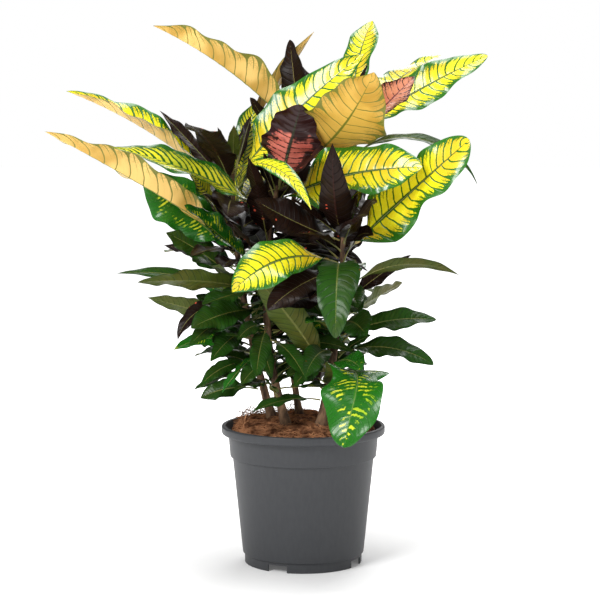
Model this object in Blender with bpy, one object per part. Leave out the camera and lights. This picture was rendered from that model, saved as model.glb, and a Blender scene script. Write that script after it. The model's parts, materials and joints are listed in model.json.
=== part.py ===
"""Potted croton: a moulded nursery pot, its root ball, five woody shoots and their leaves.

Metres, +Z up. The origin is the centre of the pot's base, and -Y is the front.
Headings are degrees seen from above: 0 is right (+X), 90 back, 180 left, 270 front.
"""
import math
from dataclasses import dataclass, replace

import bmesh
import bpy
import numpy as np
from mathutils import Vector
from mathutils.bvhtree import BVHTree

# Pot
RIM_RADIUS = 0.105
POT_HEIGHT = 0.178
WALL = 0.0018
RIM_DEPTH = 0.011
BAND_DEPTH = 0.040
FOOT_HEIGHT = 0.013
FOOT_RADIUS = 0.0755
BODY_FOOT_RADIUS = 0.078
BODY_TOP_RADIUS = 0.091
BAND_LOW_RADIUS = 0.094
BAND_TOP_RADIUS = 0.0965
PAD_RADIUS = 0.020
TURN_STEPS = 48
NOTCH_COUNT = 4
NOTCH_WIDTH = 0.026
NOTCH_HEIGHT = 0.009
NOTCH_TURN = 244.0

# Root ball
SOIL_DROP = 0.007
SOIL_CROWN = 0.013
SOIL_TILT = 0.005
SOIL_BEVEL = 0.004
SOIL_RINGS = 6

# Shoots and leaves
GAP = 0.0003
SEAT_GAP = 0.0006
SOIL_SLOPE = 0.17
SHOOT_SIDES = 8
SHOOT_RINGS = 12
SHOOT_TIP_RADIUS = 0.0028
STALK_LENGTH = 0.014
STALK_HALF = 0.0012
BLADE_HALF_THICKNESS = 0.0005
BLADE_RINGS = 10
STALK_RINGS = 3
PATH_STEPS = 60
TWIST_SHARE = 0.25
WAIST_SPREAD = 0.13
NODE_TOP = 0.985
NODE_STRETCH = 0.045
GOLDEN_ANGLE = 137.5

COLOURS = {
    "pot": ((0.085, 0.088, 0.092, 1.0), 0.55),
    "soil": ((0.105, 0.060, 0.032, 1.0), 0.95),
    "stem": ((0.300, 0.215, 0.130, 1.0), 0.80),
    "gold": ((0.700, 0.540, 0.070, 1.0), 0.35),
    "lime": ((0.360, 0.430, 0.070, 1.0), 0.35),
    "amber": ((0.450, 0.270, 0.060, 1.0), 0.40),
    "maroon": ((0.060, 0.022, 0.022, 1.0), 0.30),
    "rose": ((0.480, 0.160, 0.130, 1.0), 0.35),
    "green": ((0.045, 0.085, 0.030, 1.0), 0.30),
    "speckled": ((0.130, 0.190, 0.040, 1.0), 0.30),
    "olive": ((0.200, 0.190, 0.080, 1.0), 0.40),
}


@dataclass(frozen=True)
class Outline:
    """A blade's outline: widest point along it, width against leaf length, fullness and waist."""
    ratio: float
    peak: float
    fullness: float
    waist: float = 0.0


OUTLINES = {
    "strap": Outline(0.14, 0.45, 0.9),
    "lance": Outline(0.24, 0.48, 0.9),
    "taper": Outline(0.32, 0.40, 0.80),
    "even": Outline(0.28, 0.50, 0.65),
    "spoon": Outline(0.32, 0.60, 0.85),
    "wavy": Outline(0.38, 0.46, 0.52),
    "full": Outline(0.38, 0.46, 0.48, 0.12),
    "waisted": Outline(0.42, 0.46, 0.50, 0.34),
    "broad": Outline(0.40, 0.50, 0.75),
    "shield": Outline(0.43, 0.55, 0.85),
    "round": Outline(0.58, 0.52, 0.65),
}


@dataclass(frozen=True)
class Leaf:
    """One leaf: where it heads, how it rises from the shoot and droops, and how it is turned.

    show is how far the upper face turns towards the front, fold the angle of each half of the
    blade above flat, and sweep how far the heading turns from stalk to tip; all in degrees.
    """
    name: str
    finish: str
    outline: str
    length: float
    heading: float
    rise: float
    droop: float
    show: float = 0.0
    fold: float = 12.0
    sweep: float = 0.0


@dataclass(frozen=True)
class Shoot:
    """One woody shoot: its foot on the soil, its top, its sideways bow, and its leaves, top down."""
    name: str
    foot: tuple
    top: tuple
    bow: tuple
    radius: float
    internode: float
    leaves: tuple

    def centre(self, part):
        """Quadratic curve from foot to top, pushed sideways by the bow at its middle."""
        lift = SEAT_GAP + SOIL_SLOPE * self.radius
        foot = np.array((*self.foot, soil_height(*self.foot) + lift))
        top = np.array(self.top)
        middle = (foot + top) / 2 + 2 * np.array((*self.bow, 0.0))
        part = np.asarray(part, dtype=float)[..., None]
        return (1 - part) ** 2 * foot + 2 * part * (1 - part) * middle + part ** 2 * top

    def thickness(self, part):
        """Radius, falling evenly from the foot to the tip."""
        return self.radius + (SHOOT_TIP_RADIUS - self.radius) * np.asarray(part, dtype=float)

    def node(self, index):
        """Share of the shoot at which a leaf stands: the gaps widen evenly from the top down."""
        length = math.dist((*self.foot, soil_height(*self.foot)), self.top)
        return NODE_TOP - self.internode * index * (1 + NODE_STRETCH * index) / length


SHOOTS = (
    Shoot("shoot_left", (-0.040, 0.012), (-0.090, -0.005, 0.510), (-0.012, 0.0), 0.0056, 0.010, (
        Leaf("leaf_amber_arch", "amber", "strap", 0.175, 308, 22, 75, 30, 20),
        Leaf("leaf_top_gold", "gold", "taper", 0.225, 0, 52, 16, 60, 10),
        Leaf("leaf_back_left_dark", "maroon", "lance", 0.13, 172, 42, 5, 30),
        Leaf("leaf_upper_left", "gold", "lance", 0.245, 185, 46, 26, 15, 45),
        Leaf("leaf_upright_striped", "lime", "spoon", 0.14, 60, 80, 5, 10, 20),
        Leaf("leaf_top_amber", "amber", "strap", 0.28, 85, 66, 16, -60, 25, -80),
        Leaf("leaf_small_gold", "lime", "broad", 0.11, 215, 58, 10, 50),
        Leaf("leaf_long_left", "amber", "lance", 0.28, 202, 33, 6, -25, 40),
        Leaf("leaf_left_hanging", "speckled", "shield", 0.155, 182, 44, 6, 80, 8),
        Leaf("leaf_left_shadow", "maroon", "lance", 0.11, 160, 20, 15, 30),
        Leaf("leaf_left_gloss", "green", "broad", 0.11, 195, 45, 20, 45),
        Leaf("leaf_left_low_long", "green", "strap", 0.16, 185, 28, 34, 40),
        Leaf("leaf_left_maroon", "maroon", "lance", 0.11, 205, 35, 110, 30),
        Leaf("leaf_left_grey", "olive", "lance", 0.13, 178, 22, 10, -60),
        Leaf("leaf_low_left_speckled", "speckled", "lance", 0.11, 210, 25, 50, 35),
        Leaf("leaf_low_left_tip", "green", "lance", 0.09, 220, 10, 50, 35),
    )),
    Shoot("shoot_front", (-0.022, -0.026), (-0.032, -0.012, 0.485), (-0.020, 0.0), 0.0058, 0.014, (
        Leaf("leaf_standing_rose", "rose", "round", 0.12, 305, 74, 6, -35, 8),
        Leaf("leaf_middle_wavy", "gold", "wavy", 0.205, 328, 26, 26, 60, 15, 10),
        Leaf("leaf_striped_left", "lime", "lance", 0.23, 208, 32, 20, 40, 25),
        Leaf("leaf_gloss_dark", "maroon", "lance", 0.11, 235, 62, 5, 10),
        Leaf("leaf_middle_dark", "maroon", "broad", 0.09, 255, 60, 10),
        Leaf("leaf_inner_left", "maroon", "broad", 0.13, 222, 45, 10, 35),
        Leaf("leaf_left_folded", "speckled", "broad", 0.14, 208, 42, 5, 40, 22),
        Leaf("leaf_left_olive", "olive", "lance", 0.17, 206, 16, 20, -40),
        Leaf("leaf_low_broad", "green", "broad", 0.11, 216, 6, 30, 40, 12),
        Leaf("leaf_low_centre", "green", "even", 0.10, 262, -5, 50, 30),
    )),
    Shoot("shoot_right", (0.022, -0.036), (0.050, -0.042, 0.435), (0.006, 0.0), 0.0068, 0.0125, (
        Leaf("leaf_inner_tall", "maroon", "lance", 0.17, 262, 2, -88, 5),
        Leaf("leaf_inner_broad", "maroon", "broad", 0.125, 202, 28, -10, 60),
        Leaf("leaf_right_broad", "gold", "full", 0.215, 335, 42, 2, 65, 5),
        Leaf("leaf_low_gold", "gold", "spoon", 0.185, 222, 22, 60, 50, 10),
        Leaf("leaf_right_folded", "green", "even", 0.185, 266, 44, 140, 0, 12),
        Leaf("leaf_right_olive", "olive", "strap", 0.155, 5, 42, 70, -50),
        Leaf("leaf_right_brown", "maroon", "lance", 0.11, 20, 40, 14, 35),
        Leaf("leaf_right_grey", "olive", "broad", 0.10, 30, 30, 10, -40),
        Leaf("leaf_right_dark", "green", "even", 0.125, 6, 26, 34, 40),
        Leaf("leaf_right_low", "green", "even", 0.125, 352, 22, 56, 40),
        Leaf("leaf_olive_hanging", "olive", "lance", 0.185, 228, 52, 12, -40, 15),
        Leaf("leaf_low_front", "speckled", "waisted", 0.215, 308, 49, 128, 0, 8, -75),
    )),
    Shoot("shoot_centre", (-0.005, 0.038), (0.002, 0.028, 0.550), (-0.018, 0.0), 0.0045, 0.014, (
        Leaf("leaf_top_left", "amber", "taper", 0.24, 174, 50, 26, -25, 50),
        Leaf("leaf_young_dark", "maroon", "even", 0.15, 130, 68, 4, 55),
        Leaf("leaf_brown_shield", "amber", "shield", 0.215, 299, 38, -36, -34, 12),
    )),
    Shoot("shoot_back", (0.036, 0.048), (0.060, 0.046, 0.575), (-0.008, 0.0), 0.0045, 0.016, (
        Leaf("leaf_top_back", "gold", "spoon", 0.145, 62, 86, 44, 0, 12),
        Leaf("leaf_top_right", "gold", "even", 0.20, 355, 34, 10, 55, 12),
        Leaf("leaf_rose_folded", "rose", "spoon", 0.14, 318, 42, 6, -30, 26),
        Leaf("leaf_right_far", "green", "strap", 0.20, 350, 45, 110, 20),
    )),
)

# Leaves at the back follow the shoots' own growth: each a golden angle on from the last
REAR_COUNT = 8
REAR_FINISHES = ("gold", "lime", "speckled", "green")
REAR_FIRST_HEADING = 40.0
REAR_ARC = 120.0
REAR_TOP = 0.93
REAR_STEP = 0.07
REAR_LENGTH = 0.21
REAR_SHRINK = 0.008
REAR_RISE = 48.0
REAR_SINK = 5.0
REAR_DROOP = 35.0


def soil_height(x, y):
    """Height of the soil: low at the pot's wall, domed in the middle, higher towards the back."""
    share = min(math.hypot(x, y) / BAND_TOP_RADIUS, 1.0)
    tilt = SOIL_TILT * y / BAND_TOP_RADIUS
    return POT_HEIGHT - SOIL_DROP + SOIL_CROWN * (1 - share ** 2) + tilt


def give_material(piece, finish):
    """A Principled material of the piece's own."""
    colour, roughness = COLOURS[finish]
    material = bpy.data.materials.new(piece.name)
    material.use_nodes = True
    shader = material.node_tree.nodes["Principled BSDF"]
    shader.inputs["Base Color"].default_value = colour
    shader.inputs["Roughness"].default_value = roughness
    shader.inputs["Metallic"].default_value = 0.0
    piece.data.materials.append(material)


def add_piece(name, mesh_data, finish):
    """An object from a bmesh, with outward faces, smooth sides and a material."""
    bmesh.ops.recalc_face_normals(mesh_data, faces=mesh_data.faces)
    mesh = bpy.data.meshes.new(name)
    mesh_data.to_mesh(mesh)
    mesh_data.free()
    mesh.shade_smooth()
    mesh.set_sharp_from_angle(angle=math.radians(35))
    piece = bpy.data.objects.new(name, mesh)
    bpy.context.scene.collection.objects.link(piece)
    if finish:
        give_material(piece, finish)
    return piece


def loft(rings):
    """A closed bmesh through equal rings of points, with a face across each end."""
    work = bmesh.new()
    loops = [[work.verts.new(Vector(point)) for point in ring] for ring in rings]
    sides = len(loops[0])
    for low, high in zip(loops, loops[1:]):
        for side in range(sides):
            after = (side + 1) % sides
            work.faces.new((low[side], low[after], high[after], high[side]))
    work.faces.new(loops[0][::-1])
    work.faces.new(loops[-1])
    bmesh.ops.recalc_face_normals(work, faces=work.faces)
    bmesh.ops.triangulate(work, faces=work.faces)
    return work


def turned(profile):
    """A bmesh of a profile of radius and height, which starts and ends on the axis, spun round Z."""
    work = bmesh.new()
    points = [work.verts.new((radius, 0.0, height)) for radius, height in profile]
    edges = [work.edges.new(pair) for pair in zip(points, points[1:])]
    bmesh.ops.spin(work, geom=points + edges, cent=(0, 0, 0), axis=(0, 0, 1),
                   angle=math.tau, steps=TURN_STEPS, use_merge=True)
    bmesh.ops.remove_doubles(work, verts=work.verts, dist=1e-6)
    return work


def inner_radius(height):
    """Radius of the pot's inside at a height: the body's taper, carried on through the band."""
    share = (height - FOOT_HEIGHT) / (POT_HEIGHT - RIM_DEPTH - FOOT_HEIGHT)
    return BODY_FOOT_RADIUS + (BAND_TOP_RADIUS - BODY_FOOT_RADIUS) * share - 2 * WALL


def build_pot():
    """Thin shell with a rolled rim, a band, a stepped foot, a raised floor and a centre pad."""
    floor = FOOT_HEIGHT - 2 * WALL
    band_low = POT_HEIGHT - BAND_DEPTH
    rim_low = POT_HEIGHT - RIM_DEPTH
    rim_inner = RIM_RADIUS - 3 * WALL
    profile = (
        (0, 0), (PAD_RADIUS, 0), (PAD_RADIUS, floor),
        (FOOT_RADIUS - WALL, floor), (FOOT_RADIUS - WALL, 0),
        (FOOT_RADIUS, 0), (FOOT_RADIUS, FOOT_HEIGHT),
        (BODY_FOOT_RADIUS, FOOT_HEIGHT), (BODY_TOP_RADIUS, band_low),
        (BAND_LOW_RADIUS, band_low), (BAND_TOP_RADIUS, rim_low),
        (RIM_RADIUS - 0.003, rim_low), (RIM_RADIUS, rim_low + 0.003),
        (RIM_RADIUS, POT_HEIGHT - 0.002), (RIM_RADIUS - 0.002, POT_HEIGHT),
        (rim_inner, POT_HEIGHT), (inner_radius(rim_low), rim_low),
        (inner_radius(FOOT_HEIGHT), FOOT_HEIGHT), (0, FOOT_HEIGHT),
    )
    pot = add_piece("pot", turned(profile), "pot")
    cutter = bmesh.new()
    for index in range(NOTCH_COUNT):
        turn = math.radians(NOTCH_TURN + 360 * index / NOTCH_COUNT)
        box = bmesh.ops.create_cube(cutter, size=1.0)["verts"]
        bmesh.ops.scale(cutter, vec=(0.010, NOTCH_WIDTH, 2 * NOTCH_HEIGHT), verts=box)
        bmesh.ops.translate(cutter, vec=(FOOT_RADIUS, 0, 0), verts=box)
        spin = np.array(((math.cos(turn), -math.sin(turn)), (math.sin(turn), math.cos(turn))))
        for vert in box:
            vert.co.x, vert.co.y = spin @ np.array(vert.co.xy)
    guide = add_piece("notch_cutter", cutter, None)
    guide.hide_render = True
    guide.display_type = "WIRE"
    cut = pot.modifiers.new("drain_notches", "BOOLEAN")
    cut.object = guide
    cut.operation = "DIFFERENCE"
    cut.solver = "EXACT"


def build_soil():
    """Root ball: fills the pot a hair inside its wall, under a domed top."""
    angles = np.arange(TURN_STEPS) * math.tau / TURN_STEPS
    low = FOOT_HEIGHT + GAP
    top_wall = POT_HEIGHT - SOIL_DROP - SOIL_BEVEL
    slack = 2 * GAP

    def ring(radius, height):
        """Points round a circle; a height of None lies on the soil's own surface."""
        spots = ((radius * math.cos(a), radius * math.sin(a)) for a in angles)
        return [(x, y, soil_height(x, y) if height is None else height) for x, y in spots]

    rings = [ring(inner_radius(low) - slack, low), ring(inner_radius(top_wall) - slack, top_wall)]
    edge = inner_radius(top_wall) - slack
    rings += [ring(edge * (1 - step / SOIL_RINGS), None) for step in range(SOIL_RINGS)]
    add_piece("soil", loft(rings), "soil")


def build_shoot(shoot):
    """Tapering tube along the shoot's curve, its foot level on the soil."""
    parts = np.linspace(0, 1, SHOOT_RINGS)
    centres = shoot.centre(parts)
    radii = shoot.thickness(parts)
    tangents = np.gradient(centres, axis=0)
    tangents[0] = (0, 0, 1)
    rings = []
    for centre, radius, tangent in zip(centres, radii, tangents):
        along = tangent / np.linalg.norm(tangent)
        side = np.cross(along, (0, 1, 0))
        side /= np.linalg.norm(side)
        other = np.cross(along, side)
        turns = np.arange(SHOOT_SIDES) * math.tau / SHOOT_SIDES
        rings.append(centre + radius * (np.outer(np.cos(turns), side) + np.outer(np.sin(turns), other)))
    return add_piece(shoot.name, loft(rings), "stem")


def outline_width(outline, share):
    """Half-width against the greatest: a sine bent to its peak, raised to a power, with a waist."""
    bent = share ** (math.log(0.5) / math.log(outline.peak))
    full = np.sin(np.pi * np.clip(bent, 0, 1)) ** outline.fullness
    return full * (1 - outline.waist * np.exp(-((share - 0.5) / WAIST_SPREAD) ** 2))


def leaf_rings(leaf, root, swell=0.0):
    """Sections of a leaf from its root: a slim stalk, then a folded blade on an arching midrib.

    The midrib's pitch falls evenly from rise by droop and its heading turns by sweep. swell
    thickens the sections, to test for room round the leaf.
    """
    fine = np.linspace(0, 1, PATH_STEPS + 1)
    pitch = np.radians(leaf.rise - leaf.droop * fine)
    heading = np.radians(leaf.heading + leaf.sweep * fine)
    along = np.stack((np.cos(pitch) * np.cos(heading), np.cos(pitch) * np.sin(heading), np.sin(pitch)), -1)
    steps = (along[1:] + along[:-1]) / 2 * leaf.length / PATH_STEPS
    path = root + np.vstack((np.zeros(3), np.cumsum(steps, axis=0)))

    stalk = min(STALK_LENGTH / leaf.length, 0.2)
    stations = np.concatenate((np.linspace(0, stalk, STALK_RINGS, endpoint=False),
                               np.linspace(stalk, 1, BLADE_RINGS)))
    spots = np.stack([np.interp(stations, fine, path[:, axis]) for axis in range(3)], -1)
    pitch = np.interp(stations, fine, pitch)
    heading = np.interp(stations, fine, heading)
    tangent = np.stack((np.cos(pitch) * np.cos(heading), np.cos(pitch) * np.sin(heading), np.sin(pitch)), -1)
    up = np.stack((-np.sin(pitch) * np.cos(heading), -np.sin(pitch) * np.sin(heading), np.cos(pitch)), -1)
    side = np.cross(tangent, up)
    turn = math.radians(leaf.show) * (1.0 if side[0, 1] <= 0 else -1.0)
    blade_share = np.clip((stations - stalk) / (1 - stalk), 0, 1)
    settle = np.clip(blade_share / TWIST_SHARE, 0, 1)[:, None]
    roll = turn * settle
    across = np.cos(roll) * side - np.sin(roll) * up
    normal = np.sin(roll) * side + np.cos(roll) * up

    outline = OUTLINES[leaf.outline]
    half = leaf.length * outline.ratio / 2 * outline_width(outline, blade_share)
    half = np.maximum(half, STALK_HALF * (1 - 0.5 * blade_share)) + swell
    thick = np.where(blade_share > 0.05, BLADE_HALF_THICKNESS, STALK_HALF) + swell
    fold = math.radians(leaf.fold) * settle[:, 0]
    rings = []
    for spot, a, n, w, t, f in zip(spots, across, normal, half, thick, fold):
        raise_edge = w * math.sin(f)
        reach = w * math.cos(f)
        edge = 0.6 * t
        rings.append([
            spot - reach * a + (raise_edge + edge) * n, spot + t * n,
            spot + reach * a + (raise_edge + edge) * n, spot + reach * a + (raise_edge - edge) * n,
            spot - t * n, spot - reach * a + (raise_edge - edge) * n,
        ])
    return rings


def leaf_root(shoot, part, leaf):
    """Where a leaf's stalk meets its shoot: on the bark, on the side that the leaf heads to."""
    turn = math.radians(leaf.heading)
    out = shoot.thickness(part) + STALK_HALF + SEAT_GAP
    return shoot.centre(part) + out * np.array((math.cos(turn), math.sin(turn), 0.0))


def ways_round():
    """Small turns of heading and rise, least first, that a leaf tries to find free air."""
    turns = [(turn, lift) for turn in range(-40, 41, 4) for lift in range(-24, 25, 4)]
    return sorted(turns, key=lambda pair: (abs(pair[0]) + 1.3 * abs(pair[1]), pair))


def grow_leaf(shoot, part, leaf, standing):
    """Grow a leaf, turned as little as it takes to keep clear of every piece that stands already."""
    for turn, lift in ways_round():
        tried = replace(leaf, heading=leaf.heading + turn, rise=leaf.rise + lift)
        root = leaf_root(shoot, part, tried)
        test = loft(leaf_rings(tried, root, swell=GAP))
        room = BVHTree.FromBMesh(test)
        test.free()
        if not any(room.overlap(other) for other in standing):
            solid = loft(leaf_rings(tried, root))
            standing.append(BVHTree.FromBMesh(solid))
            add_piece(leaf.name, solid, leaf.finish)
            return
    raise ValueError(leaf.name + " finds no room")


def rear_leaves():
    """Leaves at the back, each a golden angle on, wrapped into the rear arc of headings."""
    grown = []
    for index in range(REAR_COUNT):
        shoot = SHOOTS[(4, 3, 0)[index % 3]]
        part = REAR_TOP - REAR_STEP * index
        heading = REAR_FIRST_HEADING + (index * GOLDEN_ANGLE) % REAR_ARC
        leaf = Leaf("leaf_rear_%d" % (index + 1), REAR_FINISHES[index // 2], "even",
                    REAR_LENGTH - REAR_SHRINK * index, heading, REAR_RISE - REAR_SINK * index, REAR_DROOP,
                    fold=15.0)
        grown.append((shoot, part, leaf))
    return grown


def main():
    """Clear the scene and build the pot, soil, shoots and leaves; the longest leaves grow first."""
    for old in list(bpy.data.objects):
        bpy.data.objects.remove(old)
    build_pot()
    build_soil()
    standing = []
    for name in ("pot", "soil"):
        work = bmesh.new()
        work.from_mesh(bpy.data.objects[name].data)
        standing.append(BVHTree.FromBMesh(work))
        work.free()
    for shoot in SHOOTS:
        work = bmesh.new()
        work.from_mesh(build_shoot(shoot).data)
        standing.append(BVHTree.FromBMesh(work))
        work.free()
    plan = [(shoot, shoot.node(index), leaf)
            for shoot in SHOOTS for index, leaf in enumerate(shoot.leaves)]
    plan.sort(key=lambda entry: (-entry[2].length, entry[2].name))
    for shoot, part, leaf in plan + rear_leaves():
        grow_leaf(shoot, part, leaf, standing)


main()
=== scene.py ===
"""Looks of a potted croton: variegated leaves, barky shoots, coir soil and a moulded pot.

Metres, +Z up, -Y is the front. Headings are degrees seen from above: 0 right, 90 back,
180 left, 270 front. Every piece is a surface worked out as whole numpy arrays.
"""
import json
import logging
import math
from dataclasses import dataclass, field, replace
from enum import Enum
from typing import Iterator, Optional, Sequence, Union

import bmesh
import bpy
import numpy as np
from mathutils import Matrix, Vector
from mathutils.bvhtree import BVHTree

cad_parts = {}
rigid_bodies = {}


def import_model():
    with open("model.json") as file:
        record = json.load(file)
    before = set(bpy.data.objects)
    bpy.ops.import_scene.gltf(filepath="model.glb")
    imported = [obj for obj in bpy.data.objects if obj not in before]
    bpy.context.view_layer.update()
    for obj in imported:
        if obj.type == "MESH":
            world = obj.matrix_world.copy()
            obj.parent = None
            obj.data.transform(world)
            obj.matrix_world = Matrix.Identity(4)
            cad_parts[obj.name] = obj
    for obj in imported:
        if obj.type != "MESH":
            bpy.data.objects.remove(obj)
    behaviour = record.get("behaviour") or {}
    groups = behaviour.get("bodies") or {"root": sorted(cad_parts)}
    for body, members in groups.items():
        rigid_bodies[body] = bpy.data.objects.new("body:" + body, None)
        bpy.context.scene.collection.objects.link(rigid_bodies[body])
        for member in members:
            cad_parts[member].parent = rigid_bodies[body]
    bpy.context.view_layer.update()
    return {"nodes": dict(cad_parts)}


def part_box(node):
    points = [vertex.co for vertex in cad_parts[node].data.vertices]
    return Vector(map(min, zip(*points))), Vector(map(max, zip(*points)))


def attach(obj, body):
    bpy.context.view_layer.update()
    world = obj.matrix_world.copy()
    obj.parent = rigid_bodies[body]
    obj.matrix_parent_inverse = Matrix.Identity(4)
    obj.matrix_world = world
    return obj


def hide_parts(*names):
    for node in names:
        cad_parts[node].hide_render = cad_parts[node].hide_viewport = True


LOG = logging.getLogger("croton")
BODY = "root"
UV_LEAF = "Leaf"
COAT_ROUGHNESS = 0.12
BOX_TOLERANCE = 2e-5
Colour = tuple[float, float, float, float]


def rgb(red: float, green: float, blue: float) -> Colour:
    """A linear colour with full alpha."""
    return (red, green, blue, 1.0)


# --------------------------------------------------------------------------- materials

@dataclass(frozen=True)
class Value:
    """A node's output, which can be reckoned with like a number."""
    pen: "NodePen"
    socket: bpy.types.NodeSocket

    def __add__(self, other: "Input") -> "Value":
        """Sum."""
        return self.pen.math("ADD", self, other)

    def __sub__(self, other: "Input") -> "Value":
        """Difference."""
        return self.pen.math("SUBTRACT", self, other)

    def __rsub__(self, other: "Input") -> "Value":
        """Difference from a number."""
        return self.pen.math("SUBTRACT", other, self)

    def __mul__(self, other: "Input") -> "Value":
        """Product."""
        return self.pen.math("MULTIPLY", self, other)

    def __truediv__(self, other: "Input") -> "Value":
        """Quotient."""
        return self.pen.math("DIVIDE", self, other)

    def __pow__(self, other: "Input") -> "Value":
        """Power."""
        return self.pen.math("POWER", self, other)

    def __abs__(self) -> "Value":
        """Size without sign."""
        return self.pen.math("ABSOLUTE", self)

    def held(self) -> "Value":
        """The value kept between 0 and 1."""
        node = self.pen.node("ShaderNodeClamp", {0: self})
        return Value(self.pen, node.outputs[0])

    def step(self, low: "Input", high: "Input") -> "Value":
        """A smooth step of the value from 0 at low to 1 at high.

        Args:
            low: where it starts.
            high: where it ends.

        Returns:
            The stepped value.
        """
        node = self.pen.node("ShaderNodeMapRange", {0: self, 1: low, 2: high},
                             interpolation_type="SMOOTHSTEP")
        return Value(self.pen, node.outputs[0])


Input = Union[Value, float, tuple]


class NodePen:
    """Writes a material's node tree."""

    def __init__(self, name: str) -> None:
        """Start a material with a Principled shader.

        Args:
            name: the material's name.
        """
        self.material = bpy.data.materials.new(name)
        self.material.use_nodes = True
        self.tree = self.material.node_tree
        self.shader = self.tree.nodes["Principled BSDF"]

    def plug(self, value: Input, target: bpy.types.NodeSocket) -> None:
        """Link a value, or set a constant.

        Args:
            value: a value of this tree, or a constant.
            target: the socket that takes it.
        """
        if isinstance(value, Value):
            self.tree.links.new(value.socket, target)
        else:
            target.default_value = value

    def node(self, kind: str, inputs: dict[Union[int, str], Input], **settings: str) -> bpy.types.Node:
        """A new node.

        Args:
            kind: its type.
            inputs: what goes into its sockets, by number or name.
            settings: its own properties.

        Returns:
            The node.
        """
        made = self.tree.nodes.new(kind)
        for name, setting in settings.items():
            setattr(made, name, setting)
        for socket, value in inputs.items():
            self.plug(value, made.inputs[socket])
        return made

    def math(self, operation: str, first: Input, second: Input = 0.0) -> Value:
        """The result of a Math node's operation."""
        return Value(self, self.node("ShaderNodeMath", {0: first, 1: second}, operation=operation).outputs[0])

    def mix(self, share: Input, first: Input, second: Input) -> Value:
        """A blend of two colours: first at share 0, second at 1.

        Args:
            share: share of the second.
            first: one colour.
            second: the other.

        Returns:
            The blend.
        """
        node = self.node("ShaderNodeMix", {}, data_type="RGBA")
        for socket, value in ((0, share), (6, first), (7, second)):
            self.plug(value, node.inputs[socket])
        return Value(self, node.outputs[2])

    def place(self, stretch: tuple[float, float, float] = (1, 1, 1)) -> Value:
        """Object coordinates, stretched along each axis."""
        where = Value(self, self.node("ShaderNodeTexCoord", {}).outputs["Object"])
        return Value(self, self.node("ShaderNodeMapping", {"Vector": where, "Scale": stretch}).outputs[0])

    def uv(self, name: str) -> Value:
        """The piece's own UV map of that name."""
        return Value(self, self.node("ShaderNodeUVMap", {}, uv_map=name).outputs[0])

    def split(self, vector: Value) -> tuple[Value, Value]:
        """The first two parts of a vector."""
        node = self.node("ShaderNodeSeparateXYZ", {0: vector})
        return Value(self, node.outputs[0]), Value(self, node.outputs[1])

    def noise(self, vector: Value, scale: float, detail: float = 2.0) -> Value:
        """Fractal noise between 0 and 1."""
        node = self.node("ShaderNodeTexNoise", {"Vector": vector, "Scale": scale, "Detail": detail})
        return Value(self, node.outputs[0])

    def cells(self, vector: Value, scale: float, feature: str) -> Value:
        """Distance to the nearest cell's edge or centre.

        Args:
            vector: where to look.
            scale: cells in a metre.
            feature: DISTANCE_TO_EDGE or F1.

        Returns:
            The distance.
        """
        node = self.node("ShaderNodeTexVoronoi", {}, feature=feature)
        self.plug(vector, node.inputs["Vector"])
        self.plug(scale, node.inputs["Scale"])
        return Value(self, node.outputs["Distance"])

    def bump(self, height: Value, depth: float, strength: float = 1.0) -> None:
        """Raise the surface by height times depth, in metres, in the shading."""
        node = self.node("ShaderNodeBump", {"Height": height, "Distance": depth, "Strength": strength})
        self.plug(Value(self, node.outputs[0]), self.shader.inputs["Normal"])

    def finish(self, colour: Input, roughness: Input, coat: float = 0.0,
               specular: float = 0.5) -> bpy.types.Material:
        """Set the shader's sockets.

        Args:
            colour: base colour.
            roughness: roughness.
            coat: weight of the clear coat.
            specular: specular level.

        Returns:
            The finished material.
        """
        for socket, value in (("Base Color", colour), ("Roughness", roughness), ("Coat Weight", coat),
                              ("Coat Roughness", COAT_ROUGHNESS), ("Specular IOR Level", specular)):
            self.plug(value, self.shader.inputs[socket])
        return self.material


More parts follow.
